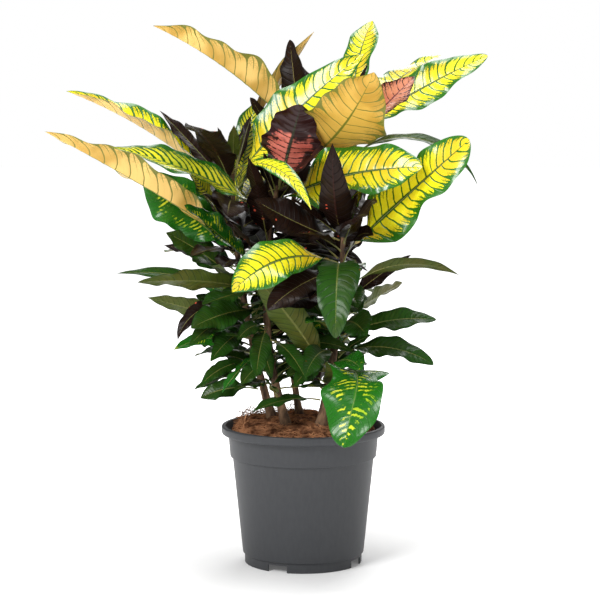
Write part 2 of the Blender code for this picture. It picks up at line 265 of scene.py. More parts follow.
@dataclass(frozen=True)
class BladePaint:
    """One face of a blade: a ground colour with cells of another between pinnate veins."""
    name: str
    ground: Colour
    cell: Colour
    tint: Colour
    rib: Colour
    veins: float = 16.0
    vein_sweep: float = 0.10
    fill: float = 0.90
    margin: float = 0.90
    ragged: float = 0.12
    half_veins: float = 0.16
    net: float = 0.9
    wander: float = 1.5
    splash: float = 0.0
    dark_from: float = 2.0
    rib_half: float = 0.055
    spot: Optional[Colour] = None
    spot_share: float = 0.0
    roughness: float = 0.26
    coat: float = 0.40
    specular: float = 0.45
    relief: float = 0.0006

    def material(self) -> bpy.types.Material:
        """The material.

        Along the blade is u and across it m, 0 at the midrib and 1 at the edge. A vein runs where
        (u - vein_sweep * m^1.6) * veins is a whole number, so that the cell's own phase is 0 in
        its middle and 1 at a vein. A cell is filled while its phase is below
        fill * sqrt(1 - (m / margin)^6), which rounds its outer end, roughened by noise; half veins
        split it from the margin inwards, and a net of fine veins crosses its outer part.

        Returns:
            The finished material.
        """
        pen = NodePen(self.name)
        along, across = pen.split(pen.uv(UV_LEAF))
        signed = across * 2.0 - 1.0
        m = abs(signed)
        place = pen.place()
        broad = pen.noise(place, 24.0)
        fine = pen.noise(place, 300.0, 3.0)
        edge_noise = (pen.noise(place, 95.0) - 0.5) * 0.30
        side = pen.math("GREATER_THAN", signed, 0.0) * 0.45
        phase = (along - m ** 1.6 * self.vein_sweep) * self.veins + side + (broad - 0.5) * self.wander
        vein = abs(pen.math("FRACT", phase) * 2.0 - 1.0)
        round_end = pen.math("SQRT", (1.0 - ((m + edge_noise) / self.margin) ** 6.0).held())
        inside = round_end * self.fill - vein + (fine - 0.5) * (self.ragged * 2)
        outer = (m + edge_noise * 1.6).step(0.45, 0.85)
        split = outer * self.half_veins + 0.004
        net = (1.0 - pen.cells(place, 260.0, "DISTANCE_TO_EDGE").step(0.03, 0.13)) * outer * self.net
        filled = (inside.step(0.0, 0.07) * vein.step(split * 0.5, split) - net).held()
        if self.splash:
            patch = pen.noise(place, 70.0, 3.0) - m ** 2.0 * 0.12
            filled = filled * patch.step(self.splash, self.splash + 0.07)
        if self.dark_from < 1.0:
            shade = along + edge_noise * 1.5
            filled = filled * (1.0 - shade.step(self.dark_from, self.dark_from + 0.12))
        tone = pen.mix(broad.step(0.40, 0.68), self.cell, self.tint)
        colour = pen.mix(filled, self.ground, tone)
        rib_width = (1.15 - along) * self.rib_half
        colour = pen.mix(1.0 - m.step(rib_width, rib_width * 2.2), colour, self.rib)
        if self.spot:
            where = pen.noise(place, 30.0, 1.0).step(1.0 - self.spot_share, 1.05 - self.spot_share)
            dot = (1.0 - pen.cells(place, 120.0, "F1").step(0.14, 0.26)) * where
            colour = pen.mix(dot, colour, self.spot)
        pen.bump(fine * 0.15 - vein.step(0.80, 1.0), self.relief, 0.8)
        return pen.finish(colour, fine * 0.12 + (self.roughness - 0.06), self.coat, self.specular)


@dataclass(frozen=True)
class GrainPaint:
    """A plain matter with two tones, stretched grain and a fine bump."""
    name: str
    dark: Colour
    light: Colour
    grain: tuple[float, float, float]
    scale: float
    roughness: float
    relief: float
    specular: float = 0.5

    def material(self) -> bpy.types.Material:
        """The material: two tones mixed by stretched noise, with a finer noise for the bump.

        Returns:
            The finished material.
        """
        pen = NodePen(self.name)
        streak = pen.noise(pen.place(self.grain), self.scale, 4.0)
        fine = pen.noise(pen.place(), self.scale * 6, 3.0)
        pen.bump(streak + fine * 0.5, self.relief)
        return pen.finish(pen.mix(streak.step(0.30, 0.70), self.dark, self.light),
                          fine * 0.1 + (self.roughness - 0.05), specular=self.specular)


YELLOW = rgb(0.84, 0.78, 0.014)
WARM_YELLOW = rgb(0.80, 0.56, 0.018)
VEIN_GREEN = rgb(0.026, 0.155, 0.008)
DEEP_GREEN = rgb(0.013, 0.052, 0.006)
MAROON = rgb(0.0085, 0.0042, 0.0028)


class LeafColour(Enum):
    """The kinds of leaf colour that one plant carries, from young and yellow to old and dark."""
    GOLD = "gold"
    LIME = "lime"
    AMBER = "amber"
    MAROON = "maroon"
    ROSE = "rose"
    GREEN = "green"
    SPECKLED = "speckled"
    OLIVE = "olive"

    @property
    def slot(self) -> str:
        """The record's material slot of this colour."""
        return "leaf_" + self.value


GOLD_UPPER = BladePaint(
    "gold_upper", VEIN_GREEN, YELLOW, WARM_YELLOW, rgb(0.018, 0.105, 0.008), fill=0.86, margin=0.87,
    half_veins=0.22)
AMBER_UNDER = BladePaint(
    "amber_under", rgb(0.17, 0.17, 0.022), rgb(0.80, 0.52, 0.15), rgb(0.50, 0.29, 0.045),
    rgb(0.16, 0.17, 0.02), veins=13, fill=0.96, margin=0.97, ragged=0.04, half_veins=0.09, net=0.35,
    wander=0.8, rib_half=0.03, roughness=0.42, coat=0.0, specular=0.3, relief=0.0004)
AMBER_DEEP = replace(
    AMBER_UNDER, name="amber_deep", cell=rgb(0.66, 0.40, 0.070), tint=rgb(0.50, 0.28, 0.035))
LIME_UPPER = BladePaint(
    "lime_upper", rgb(0.020, 0.115, 0.008), rgb(0.76, 0.70, 0.025), rgb(0.50, 0.52, 0.03), VEIN_GREEN,
    veins=20, vein_sweep=0.16, fill=0.66, margin=0.82, ragged=0.35, half_veins=0.3, rib_half=0.05)
MAROON_FACE = BladePaint(
    "maroon_face", MAROON, rgb(0.013, 0.0055, 0.0040), rgb(0.018, 0.009, 0.005), rgb(0.030, 0.010, 0.007),
    spot=rgb(0.70, 0.10, 0.05), spot_share=0.36, roughness=0.34, coat=0.02, specular=0.10)
ROSE_FACE = BladePaint(
    "rose_face", rgb(0.050, 0.010, 0.010), rgb(0.80, 0.30, 0.19), rgb(0.56, 0.13, 0.09),
    rgb(0.16, 0.018, 0.02), veins=14, fill=0.95, margin=0.95, ragged=0.3, dark_from=0.90)
ROSE_HALF = BladePaint(
    "rose_half", rgb(0.024, 0.006, 0.006), rgb(0.66, 0.17, 0.12), rgb(0.40, 0.070, 0.055),
    rgb(0.020, 0.020, 0.008), veins=14, fill=0.90, margin=0.80, ragged=0.45, splash=0.30, dark_from=0.50,
    roughness=0.34, coat=0.1, specular=0.25)
GREEN_UPPER = BladePaint(
    "green_upper", DEEP_GREEN, rgb(0.019, 0.072, 0.007), rgb(0.030, 0.062, 0.008), rgb(0.055, 0.110, 0.015),
    fill=0.9, net=0.2, roughness=0.30, coat=0.07, specular=0.17, spot=rgb(0.26, 0.045, 0.02),
    spot_share=0.30)
SPECKLED_UPPER = BladePaint(
    "speckled_upper", rgb(0.014, 0.130, 0.007), rgb(0.66, 0.70, 0.030), rgb(0.36, 0.52, 0.02),
    rgb(0.04, 0.20, 0.012), veins=27, fill=0.44, margin=0.92, ragged=0.6, net=0.0, half_veins=0.35,
    splash=0.49, coat=0.14, specular=0.28)
OLIVE_UNDER = BladePaint(
    "olive_under", rgb(0.036, 0.055, 0.008), rgb(0.056, 0.078, 0.010), rgb(0.085, 0.082, 0.014),
    rgb(0.13, 0.14, 0.035), fill=0.95, margin=0.97, ragged=0.1, net=0.2, roughness=0.45, coat=0.0,
    specular=0.16)

STALK = GrainPaint("stalk", rgb(0.16, 0.20, 0.045), rgb(0.30, 0.26, 0.07), (1, 1, 0.3), 60, 0.45, 0.0002)
BARK = GrainPaint("bark", rgb(0.050, 0.026, 0.014), rgb(0.260, 0.150, 0.080), (1, 1, 0.35), 170, 0.85, 0.0012)
PLASTIC = GrainPaint(
    "pot_plastic", rgb(0.041, 0.043, 0.047), rgb(0.045, 0.047, 0.051), (1, 1, 0.3), 260, 0.50, 0.00003, 0.30)
SOIL = GrainPaint(
    "soil", rgb(0.030, 0.012, 0.006), rgb(0.130, 0.052, 0.023), (1, 1, 1), 190, 0.95, 0.0015, 0.15)
FIBRE = GrainPaint(
    "coir_fibre", rgb(0.085, 0.030, 0.013), rgb(0.640, 0.300, 0.145), (1, 1, 1), 70, 0.9, 0.0002, 0.2)

FACES = {
    LeafColour.GOLD: (GOLD_UPPER, AMBER_UNDER),
    LeafColour.AMBER: (GOLD_UPPER, AMBER_UNDER),
    LeafColour.LIME: (LIME_UPPER, OLIVE_UNDER),
    LeafColour.MAROON: (MAROON_FACE, MAROON_FACE),
    LeafColour.ROSE: (ROSE_FACE, ROSE_FACE),
    LeafColour.GREEN: (GREEN_UPPER, OLIVE_UNDER),
    LeafColour.SPECKLED: (SPECKLED_UPPER, OLIVE_UNDER),
    LeafColour.OLIVE: (GREEN_UPPER, OLIVE_UNDER),
}
OWN_FACES = {
    "leaf_standing_rose": (ROSE_HALF, ROSE_HALF),
    "leaf_brown_shield": (GOLD_UPPER, AMBER_DEEP),
}


def face_paints(leaf: "Leaf") -> tuple[BladePaint, BladePaint]:
    """Paints of a leaf's upper and under face."""
    return OWN_FACES.get(leaf.name) or FACES[LeafColour(leaf.colour)]


class Paintbox:
    """Makes each material once and hands it out."""

    def __init__(self) -> None:
        """Start with no materials made."""
        self.made: dict[str, bpy.types.Material] = {}

    def get(self, paint: Union[BladePaint, GrainPaint]) -> bpy.types.Material:
        """The material of a paint, made on first use.

        Args:
            paint: the paint.

        Returns:
            Its material.
        """
        if paint.name not in self.made:
            self.made[paint.name] = paint.material()
        return self.made[paint.name]


# --------------------------------------------------------------------------- meshes

@dataclass
class Sheaf:
    """Points, quads and their facts, gathered piece by piece for one mesh."""
    points: list[np.ndarray] = field(default_factory=list)
    quads: list[np.ndarray] = field(default_factory=list)
    slots: list[np.ndarray] = field(default_factory=list)
    places: list[np.ndarray] = field(default_factory=list)
    count: int = 0

    def add_grid(self, grid: np.ndarray, slot: int = 0, flip: bool = False, wrap: bool = False,
                 places: Optional[np.ndarray] = None) -> None:
        """Add a grid of points as quads between its rows and columns.

        Args:
            grid: rows x columns x 3 points.
            slot: material slot of the quads.
            flip: turn the faces over.
            wrap: join the last column to the first.
            places: rows x columns x 2 shares along and across the blade.
        """
        rows, columns = grid.shape[:2]
        index = self.count + np.arange(rows * columns).reshape(rows, columns)
        if wrap:
            index = np.concatenate((index, index[:, :1]), axis=1)
        quads = np.stack((index[:-1, :-1], index[1:, :-1], index[1:, 1:], index[:-1, 1:]), -1)
        quads = quads.reshape(-1, 4)
        self.points.append(grid.reshape(-1, 3))
        self.quads.append(quads[:, ::-1] if flip else quads)
        self.slots.append(np.full(len(quads), slot))
        self.places.append(np.zeros((rows * columns, 2)) if places is None else places.reshape(-1, 2))
        self.count += rows * columns

    def build(self, name: str, materials: Sequence[bpy.types.Material], sharp: float = 60.0,
              weld: float = 2e-6) -> bpy.types.Object:
        """Make the object, with its doubles merged, its faces outward and smooth.

        Args:
            name: the piece's name.
            materials: one for each slot.
            sharp: angle in degrees above which an edge is sharp.
            weld: distance within which points are one.

        Returns:
            The new object, at the origin.
        """
        mesh = bpy.data.meshes.new(name)
        quads = np.concatenate(self.quads)
        mesh.from_pydata(np.concatenate(self.points), [], quads)
        mesh.polygons.foreach_set("material_index", np.concatenate(self.slots))
        uv = mesh.uv_layers.new(name=UV_LEAF)
        uv.data.foreach_set("uv", np.concatenate(self.places)[quads.ravel()].ravel())
        for material in materials:
            mesh.materials.append(material)
        mesh.validate()
        work = bmesh.new()
        work.from_mesh(mesh)
        bmesh.ops.remove_doubles(work, verts=work.verts, dist=weld)
        bmesh.ops.recalc_face_normals(work, faces=work.faces)
        work.to_mesh(mesh)
        work.free()
        mesh.shade_smooth()
        mesh.set_sharp_from_angle(angle=math.radians(sharp))
        piece = bpy.data.objects.new(name, mesh)
        bpy.context.scene.collection.objects.link(piece)
        return piece


def settle(piece: bpy.types.Object, slot: str, nodes: Sequence[str] = ()) -> None:
    """Ride the piece on its body and let it stand for its CAD nodes.

    Args:
        piece: the piece.
        slot: its material slot; not used.
        nodes: the nodes it stands for.
    """
    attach(piece, BODY)
    if nodes:
        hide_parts(*nodes)
    LOG.info("%s: %d faces", piece.name, len(piece.data.polygons))


def tube(centres: np.ndarray, radii: np.ndarray, sides: int) -> np.ndarray:
    """A grid of points round a path: circles square to the path, drawn to a point at both ends.

    Args:
        centres: points of the path.
        radii: radius at each, or one for each of its sides.
        sides: points round each circle.

    Returns:
        Rows along the path, columns round it.
    """
    tangents = np.gradient(centres, axis=0)
    tangents /= np.linalg.norm(tangents, axis=1)[:, None]
    helper = np.where(np.abs(tangents[:, 1:2]) < 0.9, (0.0, 1.0, 0.0), (1.0, 0.0, 0.0))
    side = np.cross(tangents, helper)
    side /= np.linalg.norm(side, axis=1)[:, None]
    other = np.cross(tangents, side)
    turns = np.arange(sides) * math.tau / sides
    radii = np.broadcast_to(np.asarray(radii, dtype=float).reshape(len(centres), -1), (len(centres), sides))
    ring = np.cos(turns)[None, :, None] * side[:, None] + np.sin(turns)[None, :, None] * other[:, None]
    body = centres[:, None] + radii[..., None] * ring
    ends = [np.repeat(centres[end][None, None], sides, axis=1) for end in (0, -1)]
    return np.concatenate((ends[0], body, ends[1]))


# --------------------------------------------------------------------------- the plant's plan

@dataclass(frozen=True)
class PotSizes:
    """The pot's driving sizes, as the construction has them."""
    rim_radius: float = 0.105
    height: float = 0.178
    wall: float = 0.0018
    rim_depth: float = 0.011
    band_depth: float = 0.040
    foot_height: float = 0.013
    foot_radius: float = 0.0755
    body_foot_radius: float = 0.078
    body_top_radius: float = 0.091
    band_low_radius: float = 0.094
    band_top_radius: float = 0.0965
    pad_radius: float = 0.020
    notch_count: int = 4
    notch_width: float = 0.026
    notch_height: float = 0.009
    notch_turn: float = 244.0
    soil_drop: float = 0.007
    soil_crown: float = 0.013
    soil_tilt: float = 0.005

    def soil_height(self, x: np.ndarray, y: np.ndarray) -> np.ndarray:
        """Height of the soil: a dome, low at the wall, that rises slightly towards the back.

        Args:
            x: places to the right of the axis.
            y: places behind the axis.

        Returns:
            The heights.
        """
        share = np.minimum(np.hypot(x, y) / self.band_top_radius, 1.0)
        tilt = self.soil_tilt * y / self.band_top_radius
        return self.height - self.soil_drop + self.soil_crown * (1 - share ** 2) + tilt


POT = PotSizes()
SEAT_GAP = 0.0006
SOIL_SLOPE = 0.17
SHOOT_TIP_RADIUS = 0.0028
STALK_LENGTH = 0.014
STALK_HALF = 0.0012
BLADE_HALF_THICKNESS = 0.0005
TWIST_SHARE = 0.25
WAIST_SPREAD = 0.13
NODE_TOP = 0.985
NODE_STRETCH = 0.045
GOLDEN_ANGLE = 137.5


@dataclass(frozen=True)
class Outline:
    """A blade's outline: width against leaf length, widest point, fullness and waist."""
    ratio: float
    peak: float
    fullness: float
    waist: float = 0.0

    def width(self, share: np.ndarray) -> np.ndarray:
        """Half-width against the greatest: a sine bent to its peak, to a power, with a waist.

        Args:
            share: shares of the blade's length.

        Returns:
            Shares of the greatest half-width.
        """
        bent = share ** (math.log(0.5) / math.log(self.peak))
        full = np.sin(np.pi * np.clip(bent, 0, 1)) ** self.fullness
        return full * (1 - self.waist * np.exp(-((share - 0.5) / WAIST_SPREAD) ** 2))


OUTLINES = {
    "strap": Outline(0.14, 0.45, 0.9),
    "lance": Outline(0.24, 0.48, 0.9),
    "taper": Outline(0.32, 0.40, 0.80),
    "even": Outline(0.28, 0.50, 0.65),
    "spoon": Outline(0.32, 0.60, 0.85),
    "wavy": Outline(0.38, 0.46, 0.52),
    "full": Outline(0.38, 0.46, 0.48, 0.12),
    "waisted": Outline(0.42, 0.46, 0.50, 0.34),
    "broad": Outline(0.40, 0.50, 0.75),
    "shield": Outline(0.43, 0.55, 0.85),
    "round": Outline(0.58, 0.52, 0.65),
}


@dataclass(frozen=True)
class Leaf:
    """One leaf: its colour and outline, where it heads, how it rises and droops, and its turn."""
    name: str
    colour: str
    outline: str
    length: float
    heading: float
    rise: float
    droop: float
    show: float = 0.0
    fold: float = 12.0
    sweep: float = 0.0

    @property
    def stalk(self) -> float:
        """Share of the length that is stalk."""
        return min(STALK_LENGTH / self.length, 0.2)

    def spine(self, root: np.ndarray, stations: np.ndarray) -> "Spine":
        """The leaf's sections at stations from 0 at the stalk's root to 1 at the tip.

        The midrib's pitch falls evenly from rise by droop and its heading turns by sweep; its
        path is their direction summed along the length. The blade is turned about the midrib by
        show, and each half is lifted by fold, both coming in over the blade's first quarter.

        Args:
            root: where the stalk meets the shoot.
            stations: shares of the whole length.

        Returns:
            The spine.
        """
        fine = np.linspace(0, 1, 61)
        pitch, heading = self.angles(fine)
        along = direction(pitch, heading)
        steps = (along[1:] + along[:-1]) / 2 * self.length / (len(fine) - 1)
        path = root + np.vstack((np.zeros(3), np.cumsum(steps, axis=0)))
        centre = np.stack([np.interp(stations, fine, path[:, axis]) for axis in range(3)], -1)
        pitch, heading = self.angles(stations)
        tangent = direction(pitch, heading)
        up = np.stack((-np.sin(pitch) * np.cos(heading), -np.sin(pitch) * np.sin(heading), np.cos(pitch)), -1)
        side = np.cross(tangent, up)
        turn = math.radians(self.show) * (1.0 if side[0, 1] <= 0 else -1.0)
        blade = np.clip((stations - self.stalk) / (1 - self.stalk), 0, 1)
        ease = np.clip(blade / TWIST_SHARE, 0, 1)
        roll = (turn * ease)[:, None]
        across = np.cos(roll) * side - np.sin(roll) * up
        normal = np.sin(roll) * side + np.cos(roll) * up
        outline = OUTLINES[self.outline]
        half = self.length * outline.ratio / 2 * outline.width(blade)
        half = np.maximum(half, STALK_HALF * (1 - 0.5 * blade))
        return Spine(centre, across, normal, half, math.radians(self.fold) * ease, blade)

    def angles(self, stations: np.ndarray) -> tuple[np.ndarray, np.ndarray]:
        """Pitch and heading of the midrib at stations, in radians."""
        return np.radians(self.rise - self.droop * stations), np.radians(self.heading + self.sweep * stations)


def direction(pitch: np.ndarray, heading: np.ndarray) -> np.ndarray:
    """Unit vectors of a pitch above level and a heading seen from above, in radians."""
    return np.stack((np.cos(pitch) * np.cos(heading), np.cos(pitch) * np.sin(heading), np.sin(pitch)), -1)


@dataclass
class Spine:
    """A leaf's sections: midrib points, directions across and out of the face, and widths."""
    centre: np.ndarray
    across: np.ndarray
    normal: np.ndarray
    half: np.ndarray
    fold: np.ndarray
    blade: np.ndarray

    def corners(self, swell: float = 0.0) -> np.ndarray:
        """The construction's six-sided sections, thickened by swell: sections x 6 x 3.

        Args:
            swell: extra half-thickness.

        Returns:
            The corners of each section.
        """
        half = self.half + swell
        thick = np.where(self.blade > 0.05, BLADE_HALF_THICKNESS, STALK_HALF) + swell
        lift = (half * np.sin(self.fold))[:, None] * self.normal
        reach = (half * np.cos(self.fold))[:, None] * self.across
        edge = (0.6 * thick)[:, None] * self.normal
        rise = thick[:, None] * self.normal
        left, right = self.centre - reach + lift, self.centre + reach + lift
        return np.stack((left + edge, self.centre + rise, right + edge,
                         right - edge, self.centre - rise, left - edge), 1)


def coarse_stations(stalk: float) -> np.ndarray:
    """The construction's stations: three along the stalk, ten along the blade."""
    return np.concatenate((np.linspace(0, stalk, 3, endpoint=False), np.linspace(stalk, 1, 10)))


@dataclass(frozen=True)
class Shoot:
    """One woody shoot: its foot on the soil, its top, its sideways bow, and its leaves, top down."""
    name: str
    foot: tuple[float, float]
    top: tuple[float, float, float]
    bow: tuple[float, float]
    radius: float
    internode: float
    leaves: tuple[Leaf, ...]

    def foot_point(self) -> np.ndarray:
        """The middle of the foot, just above the soil."""
        lift = SEAT_GAP + SOIL_SLOPE * self.radius
        return np.array((*self.foot, float(POT.soil_height(*self.foot)) + lift))

    def centre(self, part: Union[float, np.ndarray]) -> np.ndarray:
        """Quadratic curve from foot to top, pushed sideways by the bow at its middle.

        Args:
            part: shares of the shoot.

        Returns:
            The points.
        """
        foot, top = self.foot_point(), np.array(self.top)
        middle = (foot + top) / 2 + 2 * np.array((*self.bow, 0.0))
        part = np.asarray(part, dtype=float)[..., None]
        return (1 - part) ** 2 * foot + 2 * part * (1 - part) * middle + part ** 2 * top

    def thickness(self, part: Union[float, np.ndarray]) -> np.ndarray:
        """Radius, falling evenly from the foot to the tip."""
        return self.radius + (SHOOT_TIP_RADIUS - self.radius) * np.asarray(part, dtype=float)

    def node(self, index: int) -> float:
        """Share of the shoot at which a leaf stands: the gaps widen evenly from the top down."""
        length = math.dist((*self.foot, float(POT.soil_height(*self.foot))), self.top)
        return NODE_TOP - self.internode * index * (1 + NODE_STRETCH * index) / length

    def root(self, part: float, heading: float) -> np.ndarray:
        """Where a stalk meets the bark, on the side that its leaf heads to.

        Args:
            part: share of the shoot.
            heading: the leaf's heading in degrees.

        Returns:
            The point.
        """
        turn = math.radians(heading)
        out = self.thickness(part) + STALK_HALF + SEAT_GAP
        return self.centre(part) + out * np.array((math.cos(turn), math.sin(turn), 0.0))


SHOOTS = (
    Shoot("shoot_left", (-0.040, 0.012), (-0.090, -0.005, 0.510), (-0.012, 0.0), 0.0056, 0.010, (
        Leaf("leaf_amber_arch", "amber", "strap", 0.175, 308, 22, 75, 30, 20),
        Leaf("leaf_top_gold", "gold", "taper", 0.225, 0, 52, 16, 60, 10),
        Leaf("leaf_back_left_dark", "maroon", "lance", 0.13, 172, 42, 5, 30),
        Leaf("leaf_upper_left", "gold", "lance", 0.245, 185, 46, 26, 15, 45),
        Leaf("leaf_upright_striped", "lime", "spoon", 0.14, 60, 80, 5, 10, 20),
        Leaf("leaf_top_amber", "amber", "strap", 0.28, 85, 66, 16, -60, 25, -80),
        Leaf("leaf_small_gold", "lime", "broad", 0.11, 215, 58, 10, 50),
        Leaf("leaf_long_left", "amber", "lance", 0.28, 202, 33, 6, -25, 40),
        Leaf("leaf_left_hanging", "speckled", "shield", 0.155, 182, 44, 6, 80, 8),
        Leaf("leaf_left_shadow", "maroon", "lance", 0.11, 160, 20, 15, 30),
        Leaf("leaf_left_gloss", "green", "broad", 0.11, 195, 45, 20, 45),
        Leaf("leaf_left_low_long", "green", "strap", 0.16, 185, 28, 34, 40),
        Leaf("leaf_left_maroon", "maroon", "lance", 0.11, 205, 35, 110, 30),
        Leaf("leaf_left_grey", "olive", "lance", 0.13, 178, 22, 10, -60),
        Leaf("leaf_low_left_speckled", "speckled", "lance", 0.11, 210, 25, 50, 35),
        Leaf("leaf_low_left_tip", "green", "lance", 0.09, 220, 10, 50, 35),
    )),
    Shoot("shoot_front", (-0.022, -0.026), (-0.032, -0.012, 0.485), (-0.020, 0.0), 0.0058, 0.014, (
        Leaf("leaf_standing_rose", "rose", "round", 0.12, 305, 74, 6, -35, 8),
        Leaf("leaf_middle_wavy", "gold", "wavy", 0.205, 328, 26, 26, 60, 15, 10),
        Leaf("leaf_striped_left", "lime", "lance", 0.23, 208, 32, 20, 40, 25),
        Leaf("leaf_gloss_dark", "maroon", "lance", 0.11, 235, 62, 5, 10),
        Leaf("leaf_middle_dark", "maroon", "broad", 0.09, 255, 60, 10),
        Leaf("leaf_inner_left", "maroon", "broad", 0.13, 222, 45, 10, 35),
        Leaf("leaf_left_folded", "speckled", "broad", 0.14, 208, 42, 5, 40, 22),
        Leaf("leaf_left_olive", "olive", "lance", 0.17, 206, 16, 20, -40),
        Leaf("leaf_low_broad", "green", "broad", 0.11, 216, 6, 30, 40, 12),
        Leaf("leaf_low_centre", "green", "even", 0.10, 262, -5, 50, 30),
    )),
    Shoot("shoot_right", (0.022, -0.036), (0.050, -0.042, 0.435), (0.006, 0.0), 0.0068, 0.0125, (
        Leaf("leaf_inner_tall", "maroon", "lance", 0.17, 262, 2, -88, 5),
        Leaf("leaf_inner_broad", "maroon", "broad", 0.125, 202, 28, -10, 60),
        Leaf("leaf_right_broad", "gold", "full", 0.215, 335, 42, 2, 65, 5),
        Leaf("leaf_low_gold", "gold", "spoon", 0.185, 222, 22, 60, 50, 10),
        Leaf("leaf_right_folded", "green", "even", 0.185, 266, 44, 140, 0, 12),
        Leaf("leaf_right_olive", "olive", "strap", 0.155, 5, 42, 70, -50),
        Leaf("leaf_right_brown", "maroon", "lance", 0.11, 20, 40, 14, 35),
        Leaf("leaf_right_grey", "olive", "broad", 0.10, 30, 30, 10, -40),
        Leaf("leaf_right_dark", "green", "even", 0.125, 6, 26, 34, 40),
        Leaf("leaf_right_low", "green", "even", 0.125, 352, 22, 56, 40),
        Leaf("leaf_olive_hanging", "olive", "lance", 0.185, 228, 52, 12, -40, 15),
        Leaf("leaf_low_front", "speckled", "waisted", 0.215, 308, 49, 128, 0, 8, -75),
    )),
    Shoot("shoot_centre", (-0.005, 0.038), (0.002, 0.028, 0.550), (-0.018, 0.0), 0.0045, 0.014, (
        Leaf("leaf_top_left", "amber", "taper", 0.24, 174, 50, 26, -25, 50),
        Leaf("leaf_young_dark", "maroon", "even", 0.15, 130, 68, 4, 55),
        Leaf("leaf_brown_shield", "amber", "shield", 0.215, 299, 38, -36, -34, 12),
    )),
    Shoot("shoot_back", (0.036, 0.048), (0.060, 0.046, 0.575), (-0.008, 0.0), 0.0045, 0.016, (
        Leaf("leaf_top_back", "gold", "spoon", 0.145, 62, 86, 44, 0, 12),
        Leaf("leaf_top_right", "gold", "even", 0.20, 355, 34, 10, 55, 12),
        Leaf("leaf_rose_folded", "rose", "spoon", 0.14, 318, 42, 6, -30, 26),
        Leaf("leaf_right_far", "green", "strap", 0.20, 350, 45, 110, 20),
    )),
)


@dataclass(frozen=True)
class RearRule:
    """The leaves at the back, each a golden angle on, wrapped into the rear arc of headings."""
    finishes: tuple[str, ...] = ("gold", "lime", "speckled", "green")
    shoots: tuple[int, ...] = (4, 3, 0)
    count: int = 8
    first_heading: float = 40.0
    arc: float = 120.0
    top: float = 0.93
    step: float = 0.07
    length: float = 0.21
    shrink: float = 0.008
    rise: float = 48
    sink: float = 5
    droop: float = 35
    fold: float = 15

    def leaves(self) -> Iterator[tuple[Shoot, float, Leaf]]:
        """Each leaf, with its shoot and its share of the shoot, top down.

        Yields:
            Shoot, share of the shoot and leaf.
        """
        for index in range(self.count):
            yield SHOOTS[self.shoots[index % len(self.shoots)]], self.top - self.step * index, Leaf(
                "leaf_rear_%d" % (index + 1), self.finishes[index // 2], "even",
                self.length - self.shrink * index, self.first_heading + (index * GOLDEN_ANGLE) % self.arc,
                self.rise - self.sink * index, self.droop, 0, self.fold)


def planned_leaves() -> Iterator[tuple[Shoot, float, Leaf]]:
    """Every leaf of the construction, with its shoot and its share of the shoot.

    Yields:
        Shoot, share of the shoot and leaf.
    """
    for shoot in SHOOTS:
        for index, leaf in enumerate(shoot.leaves):
            yield shoot, shoot.node(index), leaf
    yield from RearRule().leaves()


def ways_round() -> list[tuple[int, int]]:
    """Small turns of heading and rise, least first, by which a leaf finds free air."""
    turns = [(turn, lift) for turn in range(-40, 41, 4) for lift in range(-24, 25, 4)]
    return sorted(turns, key=lambda pair: (abs(pair[0]) + 1.3 * abs(pair[1]), pair))


# --------------------------------------------------------------------------- leaves

@dataclass(frozen=True)
class EdgeStyle:
    """How a blade's margin departs from a plain one, as shares of the greatest half-width."""
    ruffle: float
    lobes: float
    waves: float = 2.2
    cup: float = -0.08


EDGE_STYLES = {
    "strap": EdgeStyle(0.10, 0.03),
    "lance": EdgeStyle(0.12, 0.05, 2.6),
    "taper": EdgeStyle(0.14, 0.07, 2.0),
    "even": EdgeStyle(0.16, 0.09, 2.0),
    "spoon": EdgeStyle(0.14, 0.08, 1.8),
    "wavy": EdgeStyle(0.24, 0.11, 2.1),
    "full": EdgeStyle(0.16, 0.11, 1.7),
    "waisted": EdgeStyle(0.20, 0.17, 1.5),
    "broad": EdgeStyle(0.14, 0.06, 2.2),
    "shield": EdgeStyle(0.16, 0.12, 1.9),
    "round": EdgeStyle(0.14, 0.12, 2.4),
}


